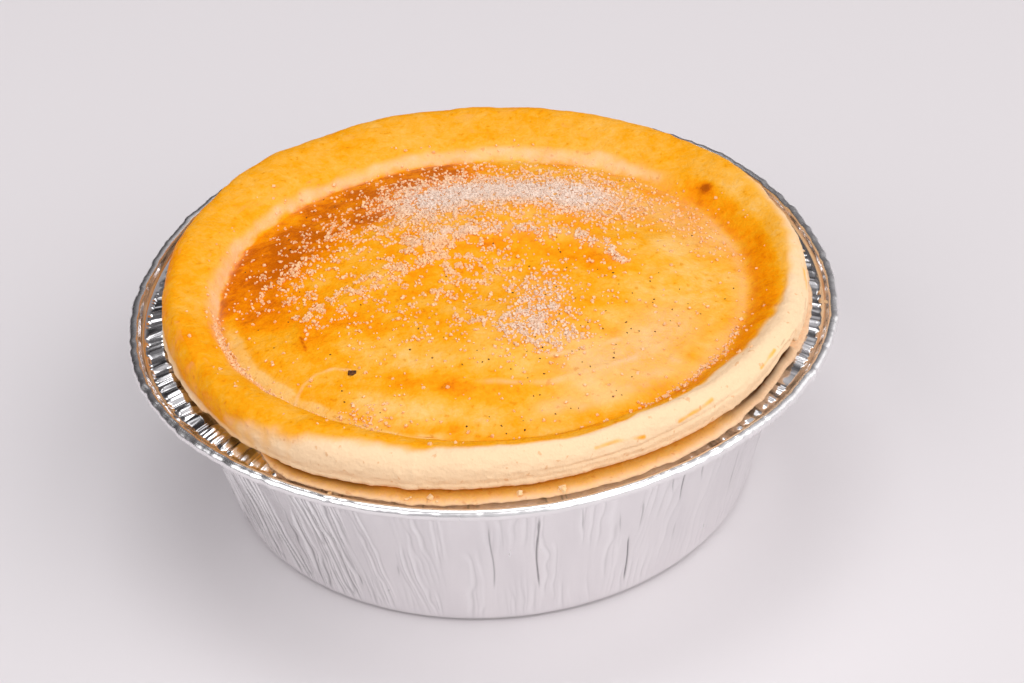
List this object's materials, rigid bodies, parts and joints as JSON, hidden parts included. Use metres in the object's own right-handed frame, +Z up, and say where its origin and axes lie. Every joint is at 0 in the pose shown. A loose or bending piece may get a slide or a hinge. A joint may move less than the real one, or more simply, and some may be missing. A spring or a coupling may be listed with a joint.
{
  "type": "apple pie",
  "caption": "Round individual fruit pie with a thick raised pastry rim and a low domed lid, baked and served in a pleated foil tin with a rolled edge.",
  "frame": {"origin": "centre of the underside of the foil tin, on the surface that it stands on", "axes": "+Z up through the middle of the lid, and -Y towards the front of the pie, from which it is usually seen"},
  "size_m": [0.1196, 0.1195, 0.044],
  "materials": {
    "foil": "bright crimped foil",
    "pastry": "baked and egg-washed shortcrust"
  },
  "bodies": {
    "root": {"foil_tin": "foil", "pie": "pastry"}
  },
  "joints": []
}
